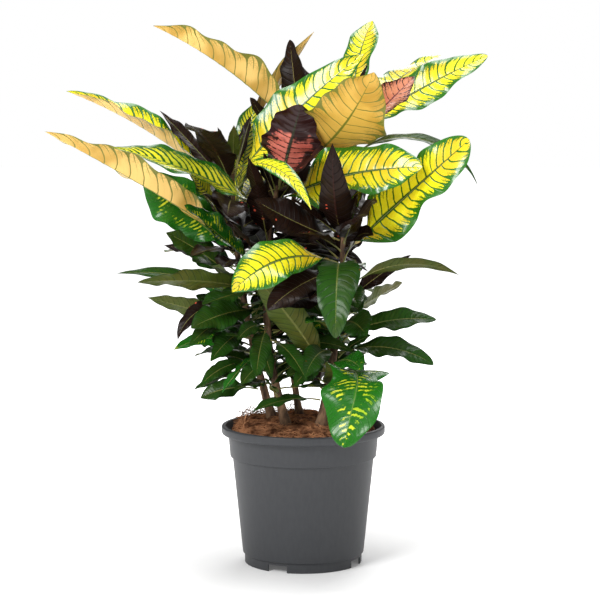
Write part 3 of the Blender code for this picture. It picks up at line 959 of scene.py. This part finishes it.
@dataclass
class LeafMaker:
    """Builds leaves: a thin shell with ruffled edges over a raised midrib that runs into the stalk."""
    paints: Paintbox
    rows: int = 84
    columns: int = 26
    half_thickness: float = 0.00035
    quilt: float = 0.00045
    groove: float = 0.0006

    def settled(self, shoot: Shoot, part: float, leaf: Leaf) -> tuple[Leaf, np.ndarray]:
        """The leaf as it stands in the construction: the turn whose box is its CAD node's box.

        Args:
            shoot: the shoot that carries it.
            part: its share of the shoot.
            leaf: the leaf as planned.

        Returns:
            The turned leaf and its root.

        Raises:
            ValueError: if no turn gives the node's box.
        """
        low, high = (np.array(corner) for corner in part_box(leaf.name))
        for turn, lift in ways_round():
            tried = replace(leaf, heading=leaf.heading + turn, rise=leaf.rise + lift)
            root = shoot.root(part, tried.heading)
            points = tried.spine(root, coarse_stations(leaf.stalk)).corners().reshape(-1, 3)
            if np.abs((points.min(0) - low, points.max(0) - high)).max() < BOX_TOLERANCE:
                return tried, root
        raise ValueError(leaf.name + " doesn't match its node")

    def add(self, sheaf: Sheaf, leaf: Leaf, root: np.ndarray, number: int, scale: float = 1.0) -> None:
        """Add one leaf to a sheaf, whose slots are the upper face, the under face and the stalk.

        A blade point is the midrib's point, plus the across direction times v times the
        half-width, plus the normal times: the fold's lift of |v|, softened at the midrib; a
        ruffle of |v|^1.7 times a slow sine along the edge; a cupping of v^4; a quilting between
        the veins; and a groove over the midrib. Slow sines also widen and narrow each side.

        Args:
            sheaf: takes the faces.
            leaf: the leaf, settled.
            root: where its stalk meets the shoot.
            number: sets the phase of its waves.
            scale: share of the full count of rows and columns.
        """
        rows, columns = int(self.rows * scale), 2 * int(self.columns * scale / 2)
        style = EDGE_STYLES[leaf.outline]
        spread = np.linspace(0, 1, rows)
        share = 0.35 * (0.5 - 0.5 * np.cos(np.pi * spread)) + 0.65 * spread
        start = leaf.stalk * 0.9
        spine = leaf.spine(root, start + (1 - start) * share)
        blade = spine.blade[:, None]
        v = np.linspace(-1, 1, columns + 1)[None, :]
        phase = number * math.radians(GOLDEN_ANGLE)
        swell = np.sin(np.pi * blade)
        outline = OUTLINES[leaf.outline]
        greatest = leaf.length * outline.ratio / 2
        half = greatest * outline.width(spine.blade)[:, None]
        turn = style.waves * blade * math.tau + phase + np.sign(v) * (0.9 + 0.4 * (number % 4))
        lobes = style.lobes * (np.sin(turn) + 0.35 * np.sin(2.7 * turn + phase)) * swell
        half = np.maximum(half * (1 + lobes), 0.00025)
        bend = np.sqrt(v ** 2 + 0.01) - 0.1
        lift = half * bend * np.sin(spine.fold)[:, None]
        ripple = np.cos(turn + 0.6) + 0.45 * np.sin(2.3 * turn + 1.7 * phase)
        ruffle = style.ruffle * greatest * ripple * np.abs(v) ** 1.7 * swell ** 0.6
        cup = style.cup * half * v ** 4
        upper = face_paints(leaf)[0]
        beat = np.abs(2 * ((blade - upper.vein_sweep * np.abs(v) ** 1.6) * upper.veins % 1) - 1)
        puff = -self.quilt * beat ** 3 * np.clip(half / 0.015, 0, 1) * (1 - v ** 4)
        reach = half * v * np.cos(spine.fold)[:, None]
        channel = -self.groove * np.exp(-(half * v / 0.0014) ** 2) * swell
        surface = (spine.centre[:, None] + reach[..., None] * spine.across[:, None]
                   + (lift + ruffle + cup + puff + channel)[..., None] * spine.normal[:, None])
        skin = self.half_thickness * np.sqrt(1 - v ** 8) * (0.35 + 0.65 * np.sin(
            np.pi * np.clip(0.02 + 0.96 * spread, 0, 1)))[:, None]
        shift = skin[..., None] * spine.normal[:, None]
        places = np.stack(np.broadcast_arrays(blade, (v + 1) / 2), -1)
        sheaf.add_grid(surface + shift, 0, places=places)
        sheaf.add_grid(surface - shift, 1, flip=True, places=places)
        for row, flip in ((0, True), (-1, False)):
            strip = np.stack((surface[row] + shift[row], surface[row] - shift[row]))
            sheaf.add_grid(strip, 0, flip, places=np.stack((places[row],) * 2))
        self.add_rib(sheaf, leaf, root, scale)

    @staticmethod
    def add_rib(sheaf: Sheaf, leaf: Leaf, root: np.ndarray, scale: float) -> None:
        """Add the stalk, which runs on under the blade as a tapering midrib.

        Args:
            sheaf: takes the mesh.
            leaf: the leaf.
            root: where its stalk starts.
            scale: share of the full number of rows.
        """
        stations = np.linspace(0, 0.94, int(40 * scale))
        spine = leaf.spine(root, stations)
        taper = np.where(stations < leaf.stalk, 1.0, 1 - (stations - leaf.stalk) / (1 - leaf.stalk))
        radii = STALK_HALF * np.clip(0.12 + 0.88 * taper, 0.1, 1)
        radii = radii * np.where(stations > leaf.stalk, 0.62, 0.95)
        radii = np.convolve(np.pad(radii, 2, "edge"), np.ones(5) / 5, "valid")
        sink = np.clip((stations - leaf.stalk) / 0.05, 0, 1) * radii * 0.75
        centres = spine.centre - sink[:, None] * spine.normal
        sheaf.add_grid(tube(centres, radii, 8), 2, False, True)

    def materials(self, leaf: Leaf) -> list[bpy.types.Material]:
        """Materials of the leaf's upper face, under face and stalk."""
        return [self.paints.get(paint) for paint in (*face_paints(leaf), STALK)]


def ring_quads(rows: int, sides: int) -> np.ndarray:
    """Quads of a tube's skin, whose points are numbered ring by ring.

    Args:
        rows: number of rings.
        sides: points in a ring.

    Returns:
        Quads x 4 point numbers.
    """
    index = np.arange(rows * sides).reshape(rows, sides)
    after = np.roll(index, -1, axis=1)
    return np.stack((index[:-1], after[:-1], after[1:], index[1:]), -1).reshape(-1, 4)


@dataclass
class Foliage:
    """All the leaves: those of the construction, and small ones that fill the bush."""
    maker: LeafMaker
    nodes: Sequence[bpy.types.Object]
    inner_each: int = 34
    bud_each: int = 4
    low_each: int = 18
    screen_each: int = 16
    flanks: tuple[float, float] = (-0.145, 0.085)
    dark_above: float = 0.375
    dark_ranges: tuple[tuple[float, float], ...] = ((0.11, 0.16), (15, 60))
    light_ranges: tuple[tuple[float, float], ...] = ((0.080, 0.125), (-5, 35))
    seed: int = 7

    def build(self) -> None:
        """Build every leaf of the construction, then the inner leaves and buds of each shoot."""
        number = 0
        for shoot, part, leaf in planned_leaves():
            settled, root = self.maker.settled(shoot, part, leaf)
            sheaf = Sheaf()
            self.maker.add(sheaf, settled, root, number)
            piece = sheaf.build(leaf.name, self.maker.materials(leaf))
            settle(piece, LeafColour(leaf.colour).slot, (leaf.name,))
            number += 1
        standing = [self.tree_of(node) for node in self.nodes]
        for index, shoot in enumerate(SHOOTS):
            self.build_fillers(shoot, index, standing)

    def fillers(self, shoot: Shoot, index: int) -> Iterator[tuple[float, Leaf]]:
        """Small leaves of one shoot, top down: upright buds, then inner leaves a golden angle apart.

        Args:
            shoot: the shoot.
            index: its number, which sets where the turn starts.

        Yields:
            Share of the shoot and leaf.
        """
        rng = np.random.default_rng(self.seed + index)
        for step in range(self.bud_each):
            yield 0.995 - 0.012 * step, Leaf(
                "bud", ("lime", "maroon")[step % 2], "lance", 0.045 + 0.013 * step,
                index * 70 + step * GOLDEN_ANGLE, 80 - 9 * step, 5, 0, 25)
        for step in range(self.inner_each):
            part = 0.92 - 0.66 * step / self.inner_each
            dark = float(shoot.centre(part)[2]) > self.dark_above
            lengths, rises = self.dark_ranges if dark else self.light_ranges
            colour = "maroon" if dark or step % 5 == 0 else ("green", "olive", "green", "speckled")[step % 4]
            yield part, Leaf(
                "inner", colour, ("broad", "even", "lance")[step % 3], float(rng.uniform(*lengths)),
                index * 50 + 220 + step * GOLDEN_ANGLE, float(rng.uniform(*rises)),
                float(rng.uniform(5, 60)), float(rng.uniform(0, 50)), 14)
        for step in range(self.low_each):
            yield 0.42 - 0.32 * step / self.low_each, Leaf(
                "low", ("green", "olive", "green")[step % 3], ("even", "broad")[step % 2],
                float(rng.uniform(0.055, 0.095)), index * 80 + step * GOLDEN_ANGLE,
                float(rng.uniform(10, 50)), float(rng.uniform(10, 50)), float(rng.uniform(0, 50)), 14)
        for step in range(self.screen_each if shoot.foot[1] > 0.03 else 0):
            yield 0.94 - 0.48 * step / self.screen_each, Leaf(
                "screen", "maroon", "broad", float(rng.uniform(0.12, 0.17)),
                float(rng.uniform(-50, 50)) + 180 * (step % 2), float(rng.uniform(0, 40)),
                float(rng.uniform(0, 40)), float(rng.uniform(40, 90)), 10)

    def build_fillers(self, shoot: Shoot, index: int, standing: list[BVHTree]) -> None:
        """Build a shoot's small leaves, one piece for each colour.

        Args:
            shoot: the shoot.
            index: its number.
            standing: search trees of everything that stands already; the new leaves join it.
        """
        sheaves: dict[str, tuple[Sheaf, Leaf]] = {}
        missed = 0
        for number, (part, leaf) in enumerate(self.fillers(shoot, index)):
            grown = self.find_room(shoot, part, leaf, standing)
            if grown is None:
                missed += 1
                continue
            sheaf = sheaves.setdefault(leaf.colour, (Sheaf(), leaf))[0]
            self.maker.add(sheaf, *grown, number + 31 * index, 0.55)
        LOG.info("%s: %d small leaves found no room", shoot.name, missed)
        for colour, (sheaf, leaf) in sheaves.items():
            piece = sheaf.build("small_%s_%s" % (colour, shoot.name), self.maker.materials(leaf))
            settle(piece, LeafColour(colour).slot)

    def find_room(self, shoot: Shoot, part: float, leaf: Leaf,
                  standing: list[BVHTree]) -> Optional[tuple[Leaf, np.ndarray]]:
        """The least turned, then the least shortened form of a leaf that touches nothing.

        Args:
            shoot: the shoot that carries it.
            part: its share of the shoot.
            leaf: the leaf as planned.
            standing: search trees of what it keeps clear of, which it joins.

        Returns:
            The leaf and its root, or None.
        """
        for length in (leaf.length, leaf.length * 0.75):
            for turn, lift in ways_round()[::3]:
                tried = replace(leaf, heading=leaf.heading + turn, rise=leaf.rise + lift, length=length)
                root = shoot.root(part, tried.heading)
                rings = tried.spine(root, coarse_stations(tried.stalk)).corners(0.0004)
                if not self.in_reach(rings):
                    continue
                tree = self.ring_tree(rings)
                if not any(tree.overlap(other) for other in standing):
                    standing.append(tree)
                    return tried, root
        return None

    def in_reach(self, rings: np.ndarray) -> bool:
        """Whether a small leaf keeps within the bush: between the flanks and above the soil.

        Args:
            rings: the leaf's sections.

        Returns:
            Whether it does.
        """
        (left, right), low = self.flanks, POT.height
        x, height = rings[..., 0], rings[..., 2]
        return bool(x.min() > left and x.max() < right and height.min() > low)

    @staticmethod
    def ring_tree(rings: np.ndarray) -> BVHTree:
        """A search tree of the sections' skin.

        Args:
            rings: sections x corners x 3 points.

        Returns:
            The tree.
        """
        rows, sides = rings.shape[:2]
        return BVHTree.FromPolygons([Vector(point) for point in rings.reshape(-1, 3)],
                                    ring_quads(rows, sides).tolist())

    @staticmethod
    def tree_of(node: bpy.types.Object) -> BVHTree:
        """A search tree of a CAD node's mesh."""
        points = [vertex.co.copy() for vertex in node.data.vertices]
        return BVHTree.FromPolygons(points, [tuple(face.vertices) for face in node.data.polygons])


# --------------------------------------------------------------------------- shoots, soil and pot

@dataclass
class Wood:
    """The shoots: barky tubes with a swollen foot and a ring at each leaf scar."""
    paints: Paintbox
    rows: int = 150
    sides: int = 20
    flare: float = 0.45
    flare_reach: float = 0.035
    scar_step: float = 0.045
    scar_width: float = 0.004
    scar_lift: float = 0.07
    grain_depth: float = 0.025
    seed: int = 3

    def build(self) -> None:
        """Build one tube for each shoot.

        The radius is the shoot's own, plus a flare that dies away from the foot, plus narrow
        rings at the leaf nodes, plus a lengthwise grain that changes slowly.
        """
        rng = np.random.default_rng(self.seed)
        for shoot in SHOOTS:
            part = np.linspace(0, 1, self.rows)
            turns = np.arange(self.sides) * math.tau / self.sides
            radius = shoot.thickness(part) * (0.93 + self.flare * np.exp(-part / self.flare_reach))
            scars = np.arange(0.12, 0.98, self.scar_step)
            rings = np.exp(-((part[:, None] - scars[None]) / self.scar_width) ** 2).sum(1)
            lean = rng.uniform(0, math.tau, 4)
            grain = sum(np.sin(turns[None] * (2 + k) + lean[k] + 14 * part[:, None] * (k + 1))
                        for k in range(4))
            radii = (radius * (1 + self.scar_lift * rings))[:, None] * (1 + self.grain_depth * grain)
            centres = shoot.centre(part)
            centres[0, 2] -= 0.004
            sheaf = Sheaf()
            sheaf.add_grid(tube(centres, radii, self.sides), 0, False, True)
            settle(sheaf.build(shoot.name, [self.paints.get(BARK)]), "woody_stem", (shoot.name,))


@dataclass
class Soil:
    """The root ball under a lumpy coir surface, with loose fibres lying on it."""
    paints: Paintbox
    fibres: int = 4600
    strays: int = 260
    fibre_rows: int = 7
    stray_arc: tuple[float, float] = (95, 205)
    stray_tilt: tuple[float, float] = (-0.55, 0.85)
    unevenness: float = 0.0012
    waves: tuple[int, ...] = (90, 140, 230, 370, 520)
    rings: int = 70
    steps: int = 180
    wall_rows: int = 8
    seed: int = 11

    def lumps(self, x: np.ndarray, y: np.ndarray) -> np.ndarray:
        """Unevenness of the soil: a few sines of different wavelengths and directions.

        Args:
            x: places to the right of the axis.
            y: places behind the axis.

        Returns:
            Heights above the smooth mound.
        """
        rng = np.random.default_rng(self.seed)
        total = np.zeros_like(x)
        for wave in self.waves:
            turn, shift = rng.uniform(0, math.tau, 2)
            total += np.sin(wave * (x * math.cos(turn) + y * math.sin(turn)) + shift) * 90 / wave
        return self.unevenness * total

    def build(self) -> None:
        """Build the mound, then the fibres."""
        low = float(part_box("soil")[0][2])
        edge = POT.band_top_radius - 2 * POT.wall - 0.0008
        turns = np.arange(self.steps) * math.tau / self.steps
        radii = np.linspace(0, 1, self.rings) ** 0.8 * edge
        x = radii[:, None] * np.cos(turns)
        y = radii[:, None] * np.sin(turns)
        z = POT.soil_height(x, y) + self.lumps(x, y) * np.clip((edge - radii) / 0.01, 0, 1)[:, None]
        top = np.stack((x, y, z), -1)[::-1]
        foot = edge - (POT.band_top_radius - POT.body_foot_radius)
        heights = np.linspace(low, float(z[-1].min()), self.wall_rows)[:, None] * np.ones(self.steps)
        heights[-1] = z[-1]
        walls = np.linspace(foot, edge, self.wall_rows)[:, None]
        wall = np.stack((walls * np.cos(turns), walls * np.sin(turns), heights), -1)
        bottom = np.zeros((1, self.steps, 3)) + (0, 0, low)
        sheaf = Sheaf()
        sheaf.add_grid(np.concatenate((bottom, wall, top[1:])), 0, True, True)
        settle(sheaf.build("soil", [self.paints.get(SOIL)]), "potting_mix", ("soil",))
        self.build_fibres(edge)

    def build_fibres(self, edge: float) -> None:
        """Lay curved three-sided fibres on the mound.

        A fibre is an arc: its start, plus its heading times the distance, plus a sideways bend of
        the distance squared; its height is the soil's, plus a low arch.

        Args:
            edge: radius of the mound.
        """
        rng = np.random.default_rng(self.seed + 1)
        count = self.fibres
        radius = np.sqrt(rng.uniform(0, 1, count)) * (edge - 0.004)
        angle = rng.uniform(0, math.tau, count)
        heading = rng.uniform(0, math.tau, count)
        length = rng.uniform(0.006, 0.026, count)
        bend = rng.normal(0, 0.35, count)
        arch = rng.uniform(0.0, 0.18, count) * length
        thick = rng.uniform(0.00022, 0.00058, count)
        tilt = rng.uniform(-0.10, 0.16, count)
        stray = np.arange(count) < self.strays
        radius = np.where(stray, edge * 0.86, radius)
        angle = np.where(stray, np.radians(rng.uniform(*self.stray_arc, count)), angle)
        length = np.where(stray, length * 1.5, length)
        tilt = np.where(stray, rng.uniform(*self.stray_tilt, count), tilt)
        s = np.linspace(-0.5, 0.5, self.fibre_rows)[None]
        cos, sin = np.cos(heading)[:, None], np.sin(heading)[:, None]
        run = s * length[:, None]
        drift = bend[:, None] * length[:, None] * (s ** 2 - 0.08)
        x = (radius * np.cos(angle))[:, None] + run * cos - drift * sin
        y = (radius * np.sin(angle))[:, None] + run * sin + drift * cos
        inside = np.minimum(1.0, (edge - 0.001) / np.maximum(np.hypot(x, y), 1e-6))
        x, y = x * inside, y * inside
        z = POT.soil_height(x, y) + self.lumps(x, y) + arch[:, None] * (1 - 4 * s ** 2)
        z += tilt[:, None] * run + np.where(stray, np.abs(tilt) * length / 2, 0)[:, None] + 0.0006
        centre = np.stack((x, y, z), -1)
        turns = np.arange(3) * math.tau / 3
        across = np.stack((-sin * np.ones_like(s), cos * np.ones_like(s), np.zeros_like(x)), -1)
        taper = (thick[:, None] * np.sqrt(np.clip(1.02 - 4 * s ** 2, 0, 1)))[..., None, None]
        ring = (np.cos(turns)[:, None] * across[:, :, None] + np.sin(turns)[:, None] * np.array((0, 0, 1.0)))
        points = centre[:, :, None] + taper * ring
        block = self.fibre_rows * 3
        first = (np.arange(count) * block)[:, None, None]
        quads = (ring_quads(self.fibre_rows, 3)[None] + first).reshape(-1, 4)
        index = np.arange(block).reshape(self.fibre_rows, 3)
        caps = (np.concatenate((index[:1, ::-1], index[-1:]))[None] + first).reshape(-1, 3)
        mesh = bpy.data.meshes.new("coir_fibres")
        mesh.from_pydata(points.reshape(-1, 3), [], quads.tolist() + caps.tolist())
        mesh.materials.append(self.paints.get(FIBRE))
        piece = bpy.data.objects.new("coir_fibres", mesh)
        bpy.context.scene.collection.objects.link(piece)
        settle(piece, "potting_mix")


@dataclass
class Pot:
    """The moulded pot: rolled rim, band, tapering body, and a stepped foot cut by drain notches."""
    paints: Paintbox
    steps: int = 200

    @staticmethod
    def arc(centre: tuple[float, float], radius: float, start: float,
            stop: float) -> list[tuple[float, float]]:
        """Points of an arc in the profile, from one angle to another, in degrees."""
        turns = np.radians(np.linspace(start, stop, 7))
        return [(centre[0] + radius * math.cos(t), centre[1] + radius * math.sin(t)) for t in turns]

    def profile(self) -> np.ndarray:
        """Radius and height from the middle of the base, up the outside, over the rim, down inside.

        Returns:
            Points x 2.
        """
        p = POT
        floor = p.foot_height - 2 * p.wall
        band = p.height - p.band_depth
        rim = p.height - p.rim_depth
        inner_rim = p.band_top_radius - 2 * p.wall
        inner_foot = p.body_foot_radius - 2 * p.wall
        rim_inner = p.rim_radius - 3 * p.wall
        points = [(0, 0), (p.pad_radius - 0.001, 0), *self.arc((p.pad_radius - 0.001, 0.001), 0.001, -90, 0)]
        points += [(p.pad_radius, floor), (p.foot_radius - p.wall, floor), (p.foot_radius - p.wall, 0.0)]
        points += self.arc((p.foot_radius - 0.0006, 0.0006), 0.0006, -90, 0)
        points += [(p.foot_radius, p.foot_height)]
        points += self.arc((p.body_foot_radius - 0.0008, p.foot_height + 0.0008), 0.0008, -90, 0)
        points += [(p.body_foot_radius + (p.body_top_radius - p.body_foot_radius) * share,
                    p.foot_height + (band - p.foot_height) * share) for share in np.linspace(0.05, 0.995, 14)]
        points += [(p.body_top_radius, band)]
        points += self.arc((p.band_low_radius - 0.0009, band + 0.0009), 0.0009, -90, 0)
        points += [(p.band_low_radius + (p.band_top_radius - p.band_low_radius) * share,
                    band + (rim - band) * share) for share in (0.2, 0.5, 0.8, 1.0)]
        points += self.arc((p.rim_radius - 0.003, rim + 0.003), 0.003, -90, 0)
        points += self.arc((p.rim_radius - 0.0022, p.height - 0.0022), 0.0022, 0, 90)
        points += self.arc((rim_inner + 0.0012, p.height - 0.0012), 0.0012, 90, 180)
        points += [(inner_rim, rim), (inner_foot, p.foot_height), (0, p.foot_height)]
        return np.array(points)

    def angles(self) -> np.ndarray:
        """Angles round the pot, evenly spread, with a close pair at each side of every notch.

        Returns:
            The angles in radians.
        """
        even = np.arange(self.steps) * math.tau / self.steps
        half = math.asin(POT.notch_width / 2 / POT.foot_radius)
        middles = np.radians(POT.notch_turn + 360 * np.arange(POT.notch_count) / POT.notch_count)
        sides = np.concatenate([middles + sign * (half + extra) for sign in (-1, 1) for extra in (0, 0.002)])
        return np.unique(np.round(np.concatenate((even, sides % math.tau)), 6))

    def build(self) -> None:
        """Turn the profile round the axis.

        Within a notch's angles, every point of the foot ring below the notch's height is raised
        to it, which opens the ring.
        """
        profile = self.profile()
        turns = self.angles()
        half = math.asin(POT.notch_width / 2 / POT.foot_radius) + 0.001
        pitch = math.tau / POT.notch_count
        away = np.abs((turns - math.radians(POT.notch_turn) + pitch / 2) % pitch - pitch / 2)
        notch = np.where(away < half, POT.notch_height, 0.0)[None]
        radius, height = profile[:, :1], profile[:, 1:]
        ring = radius > POT.foot_radius - POT.wall - 0.0001
        low = np.where(ring & (height < POT.notch_height), np.maximum(height, notch), height)
        grid = np.stack((radius * np.cos(turns), radius * np.sin(turns), low), -1)
        sheaf = Sheaf()
        sheaf.add_grid(grid, 0, True, True)
        piece = sheaf.build("pot", [self.paints.get(PLASTIC)], 38)
        settle(piece, "pot_plastic", ("pot",))


# --------------------------------------------------------------------------- studio

@dataclass(frozen=True)
class Lamp:
    """A square area light that looks at a point on the axis."""
    name: str
    where: tuple[float, float, float]
    height: float
    size: float
    power: float

    def build(self) -> None:
        """Make the light."""
        light = bpy.data.lights.new(self.name, "AREA")
        light.size = self.size
        light.energy = self.power
        lamp = bpy.data.objects.new(self.name, light)
        lamp.location = self.where
        ray = Vector((0, 0, self.height)) - Vector(self.where)
        lamp.rotation_euler = ray.to_track_quat("-Z", "Y").to_euler()
        bpy.context.scene.collection.objects.link(lamp)


@dataclass
class Studio:
    """A plain white floor, soft lights, and the camera."""
    camera_distance: float = 2.5
    camera_height: float = 0.597
    camera_side: float = -0.0042
    camera_tilt: float = 5.9
    lens: float = 118.0
    sky: float = 0.24
    floor_half: float = 14.0
    glow: float = 1.0
    glow_reach: tuple[float, float] = (-0.20, 1.10)
    lamps: tuple[Lamp, ...] = (
        Lamp("key_light", (-1.6, -2.0, 2.1), 0.40, 1.2, 72),
        Lamp("fill_light", (2.0, -1.8, 1.2), 0.35, 1.5, 11),
        Lamp("top_light", (0.1, 0.2, 2.6), 0.3, 1.6, 52),
        Lamp("back_light", (0.6, 2.2, 1.8), 0.35, 1.5, 24),
    )

    def build(self) -> None:
        """Build the floor, the lights, the world and the camera."""
        self.build_floor()
        self.build_lights()
        self.build_world()
        self.build_camera()
        bpy.context.scene.view_settings.view_transform = "Standard"

    def build_floor(self) -> None:
        """A flat square floor, whose own glow grows from the pot outwards to a seamless white."""
        ends = np.array((-self.floor_half, self.floor_half))
        sheaf = Sheaf()
        sheaf.add_grid(np.stack((*np.meshgrid(ends, ends), np.zeros((2, 2))), -1))
        pen = NodePen("floor")
        east, north = pen.split(pen.place())
        away = pen.math("SQRT", east ** 2.0 + north ** 2.0)
        pen.plug(away.step(*self.glow_reach) * self.glow, pen.shader.inputs["Emission Strength"])
        pen.plug(rgb(1, 1, 1), pen.shader.inputs["Emission Color"])
        speckle = pen.noise(pen.place(), 40.0).step(0.3, 0.7)
        tone = pen.mix(speckle, rgb(0.87, 0.87, 0.87), rgb(0.88, 0.88, 0.88))
        sheaf.build("floor", [pen.finish(tone, 0.8, specular=0.1)])

    def build_lights(self) -> None:
        """A large key from the upper left, a fill from the right, one above and one behind."""
        for lamp in self.lamps:
            lamp.build()

    def build_world(self) -> None:
        """A world that lights softly as a grey sky and is seen as plain white."""
        world = bpy.data.worlds.new("studio")
        world.use_nodes = True
        tree = world.node_tree
        sky = tree.nodes["Background"]
        sky.inputs[0].default_value = rgb(1, 1, 1)
        sky.inputs[1].default_value = self.sky
        white = tree.nodes.new("ShaderNodeBackground")
        white.inputs[0].default_value = rgb(1, 1, 1)
        seen = tree.nodes.new("ShaderNodeLightPath").outputs["Is Camera Ray"]
        either = tree.nodes.new("ShaderNodeMixShader")
        tree.links.new(seen, either.inputs[0])
        tree.links.new(sky.outputs[0], either.inputs[1])
        tree.links.new(white.outputs[0], either.inputs[2])
        tree.links.new(either.outputs[0], tree.nodes["World Output"].inputs["Surface"])
        bpy.context.scene.world = world

    def build_camera(self) -> None:
        """A long lens in front of the plant, a little above its middle, tilted slightly down."""
        data = bpy.data.cameras.new("camera")
        data.lens = self.lens
        data.sensor_width = 36
        camera = bpy.data.objects.new("camera", data)
        camera.location = (self.camera_side, -self.camera_distance, self.camera_height)
        camera.rotation_euler = (math.radians(90 - self.camera_tilt), 0, 0)
        bpy.context.scene.collection.objects.link(camera)
        bpy.context.scene.camera = camera


def main(nodes: Sequence[bpy.types.Object]) -> None:
    """Build the studio and each part of the plant in order.

    Args:
        nodes: the construction's nodes, which small leaves keep clear of.
    """
    paints = Paintbox()
    Studio().build()
    Pot(paints).build()
    Soil(paints).build()
    Wood(paints).build()
    Foliage(LeafMaker(paints), nodes).build()


if __name__ == "__main__":
    logging.basicConfig(level=logging.INFO, format="%(name)s %(message)s")
    for old in list(bpy.data.objects):
        bpy.data.objects.remove(old)
    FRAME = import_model()
    main(list(FRAME["nodes"].values()))
